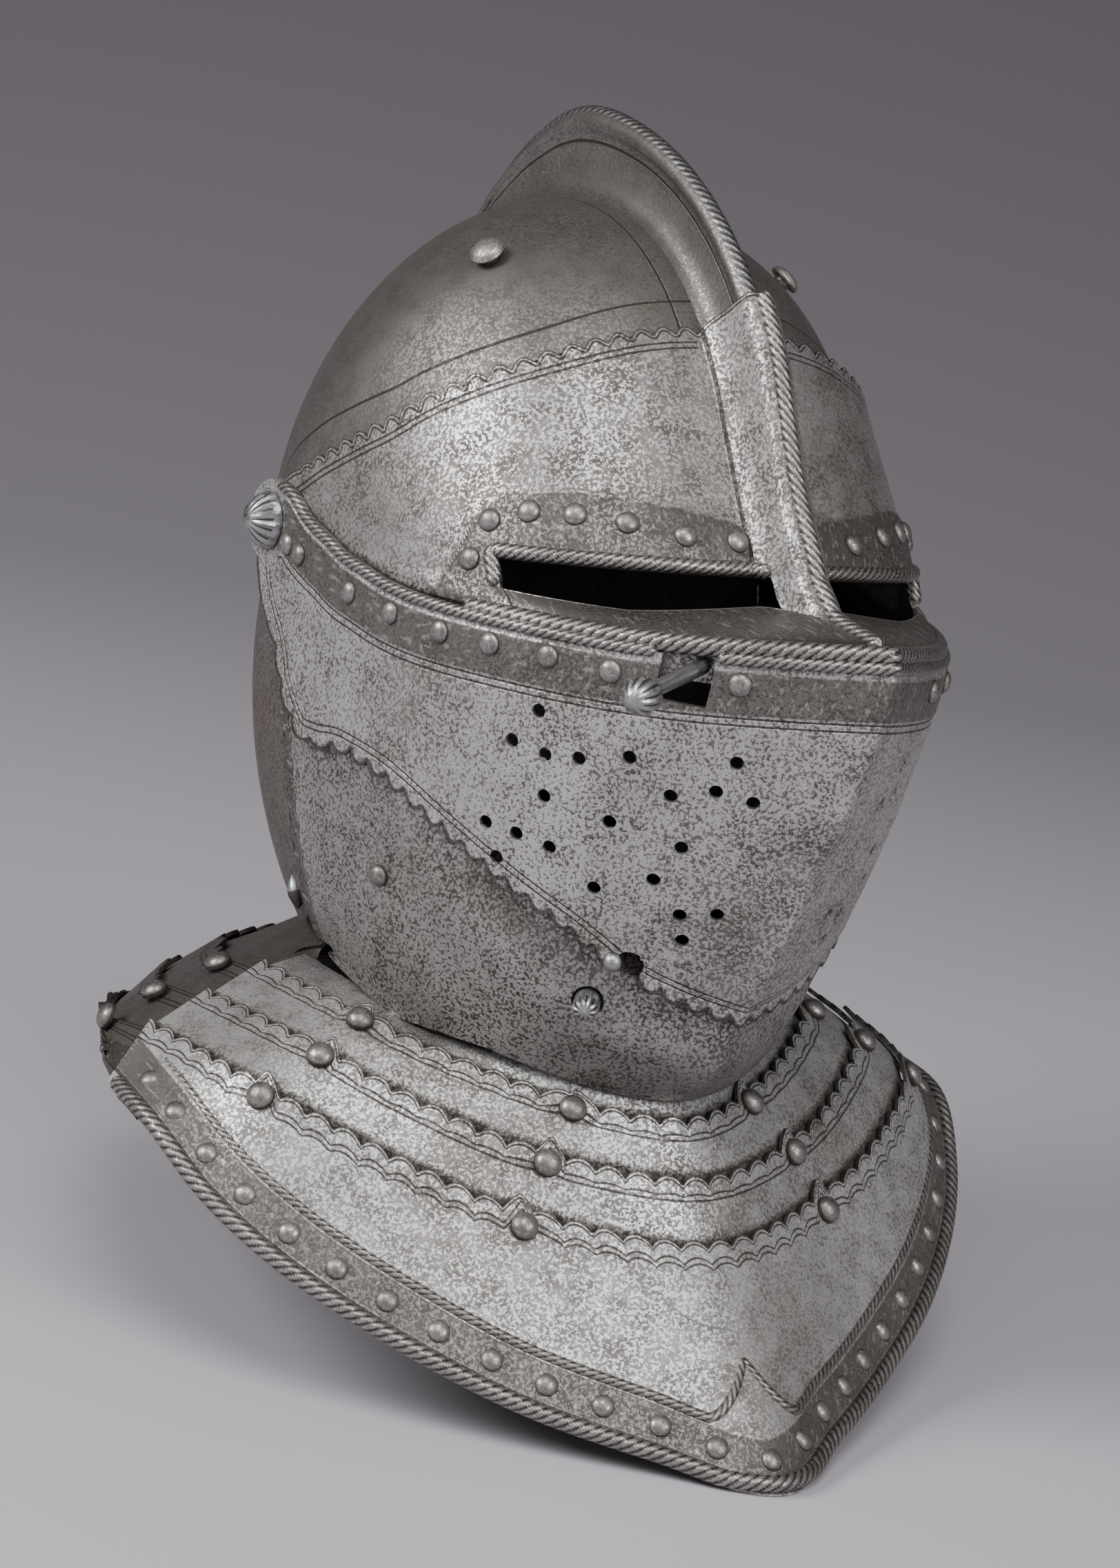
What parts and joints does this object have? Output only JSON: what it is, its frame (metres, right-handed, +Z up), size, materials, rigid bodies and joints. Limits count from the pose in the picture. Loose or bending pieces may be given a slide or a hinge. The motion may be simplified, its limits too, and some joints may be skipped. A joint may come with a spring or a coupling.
{
  "type": "close helmet",
  "caption": "Close helmet: combed skull, visor with sights, upper and lower bevor on shared pivots, and a flared gorget of overlapping plates.",
  "frame": {"origin": "middle of the footprint's bounding box, on the ground", "axes": "+X to the wearer's left, -Y the way the face looks, +Z up; the helmet leans back as it stands"},
  "size_m": [0.2752, 0.287, 0.3452],
  "materials": {
    "dark_steel": "dark worn steel",
    "pitted_steel": "light grey, finely pitted",
    "rivet_steel": "dark, worn bright on top",
    "clean_steel": "satin"
  },
  "bodies": {
    "head": {"skull": "dark_steel", "pivot_bolt_left": "clean_steel", "pivot_bolt_right": "clean_steel", "skull_stud_left": "clean_steel", "skull_stud_right": "clean_steel", "rear_flange": "dark_steel", "rear_lame_1": "dark_steel", "rear_lame_2": "dark_steel", "rear_gorget": "dark_steel", "rear_rivet_1_left": "rivet_steel", "rear_rivet_1_right": "rivet_steel", "rear_rivet_2_left": "rivet_steel", "rear_rivet_2_right": "rivet_steel", "rear_rivet_3_left": "rivet_steel", "rear_rivet_3_right": "rivet_steel"},
    "lower_bevor": {"lower_bevor": "pitted_steel", "bevor_rivet_left": "rivet_steel", "bevor_rivet_right": "rivet_steel", "front_flange": "pitted_steel", "front_lame_1": "pitted_steel", "front_lame_2": "pitted_steel", "front_gorget": "pitted_steel", "front_rivet_1_left": "rivet_steel", "front_rivet_1_right": "rivet_steel", "front_rivet_2_left": "rivet_steel", "front_rivet_2_right": "rivet_steel", "front_rivet_3_left": "rivet_steel", "front_rivet_3_right": "rivet_steel", "front_rivet_4_left": "rivet_steel", "front_rivet_4_right": "rivet_steel", "front_rivet_5_left": "rivet_steel", "front_rivet_5_right": "rivet_steel", "front_rivet_6_left": "rivet_steel", "front_rivet_6_right": "rivet_steel"},
    "upper_bevor": {"upper_bevor": "pitted_steel"},
    "visor": {"visor": "pitted_steel", "lifting_peg": "clean_steel"},
    "spring_catch": {"spring_catch": "clean_steel"}
  },
  "joints": [
    {"name": "lower_bevor_hinge", "type": "hinge", "parent": "head", "child": "lower_bevor", "pos_m": [0, 0.05666, 0.218], "axis": [-1, 0, 0], "range_deg": [0, 40]},
    {"name": "upper_bevor_hinge", "type": "hinge", "parent": "lower_bevor", "child": "upper_bevor", "pos_m": [0, 0.05666, 0.218], "axis": [-1, 0, 0], "range_deg": [0, 25]},
    {"name": "visor_hinge", "type": "hinge", "parent": "upper_bevor", "child": "visor", "pos_m": [0, 0.05666, 0.218], "axis": [-1, 0, 0], "range_deg": [0, 35]},
    {"name": "catch_slide", "type": "slide", "parent": "lower_bevor", "child": "spring_catch", "axis": [0.6025, 0.7817, 0.1613], "range_m": [0, 0.0035], "stiffness_N_per_m": 600, "springref_m": -0.004}
  ]
}
